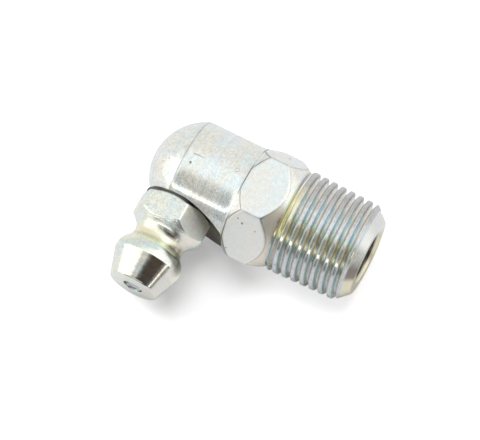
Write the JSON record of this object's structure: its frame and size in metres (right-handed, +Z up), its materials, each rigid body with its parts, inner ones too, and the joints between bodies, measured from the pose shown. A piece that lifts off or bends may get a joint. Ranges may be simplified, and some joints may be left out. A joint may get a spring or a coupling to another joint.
{
  "type": "grease nipple",
  "caption": "Right-angled grease nipple: domed elbow with hexagon and taper pipe thread, and a hexagon insert with a coupler head and a sprung check ball.",
  "frame": {"origin": "on the thread's axis at its gauge plane, 4 mm from the thread's small end", "axes": "+X along the thread towards its small end, -Y along the nipple towards its tip, +Z up from the hexagon flat that the part lies on"},
  "size_m": [0.022, 0.0181, 0.01],
  "materials": {
    "elbow_plating": "satin zinc plating with a faint rainbow passivation",
    "insert_plating": "bright zinc plating, turned",
    "ball_steel": "polished",
    "spring_steel": "drawn wire"
  },
  "bodies": {
    "fitting": {"elbow_body": "elbow_plating", "nipple_insert": "insert_plating", "check_spring": "spring_steel"},
    "ball": {"check_ball": "ball_steel"}
  },
  "joints": [
    {"name": "ball_lift", "type": "slide", "parent": "fitting", "child": "ball", "axis": [0, 1, 0], "range_m": [0, 0.001], "stiffness_N_per_m": 300, "springref_m": -0.004, "deforming": ["check_spring"]}
  ]
}
